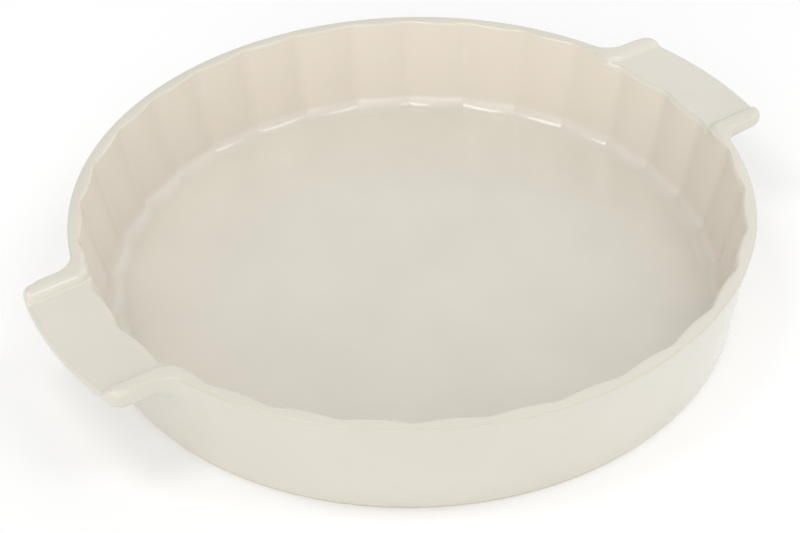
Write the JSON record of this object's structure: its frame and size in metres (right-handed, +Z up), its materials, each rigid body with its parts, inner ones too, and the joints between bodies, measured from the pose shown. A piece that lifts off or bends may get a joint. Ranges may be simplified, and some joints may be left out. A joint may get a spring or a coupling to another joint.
{
  "type": "pie dish",
  "caption": "Round stoneware pie dish with a fluted inner wall, a flat floor, a plain sloping outside and a broad flat tab handle between raised beads at each side.",
  "frame": {"origin": "the middle of the foot, on the plane that the dish stands on", "axes": "+Z up out of the open top, +X through the two handles, +Y across them"},
  "size_m": [0.346, 0.2996, 0.05],
  "materials": {
    "bare_clay": "matt unglazed buff stoneware",
    "glaze": "glossy ivory glaze, thinner and tan along sharp edges"
  },
  "bodies": {
    "root": {"stoneware_body": "bare_clay", "glaze_coat": "glaze", "underside_glaze": "glaze"}
  },
  "joints": []
}
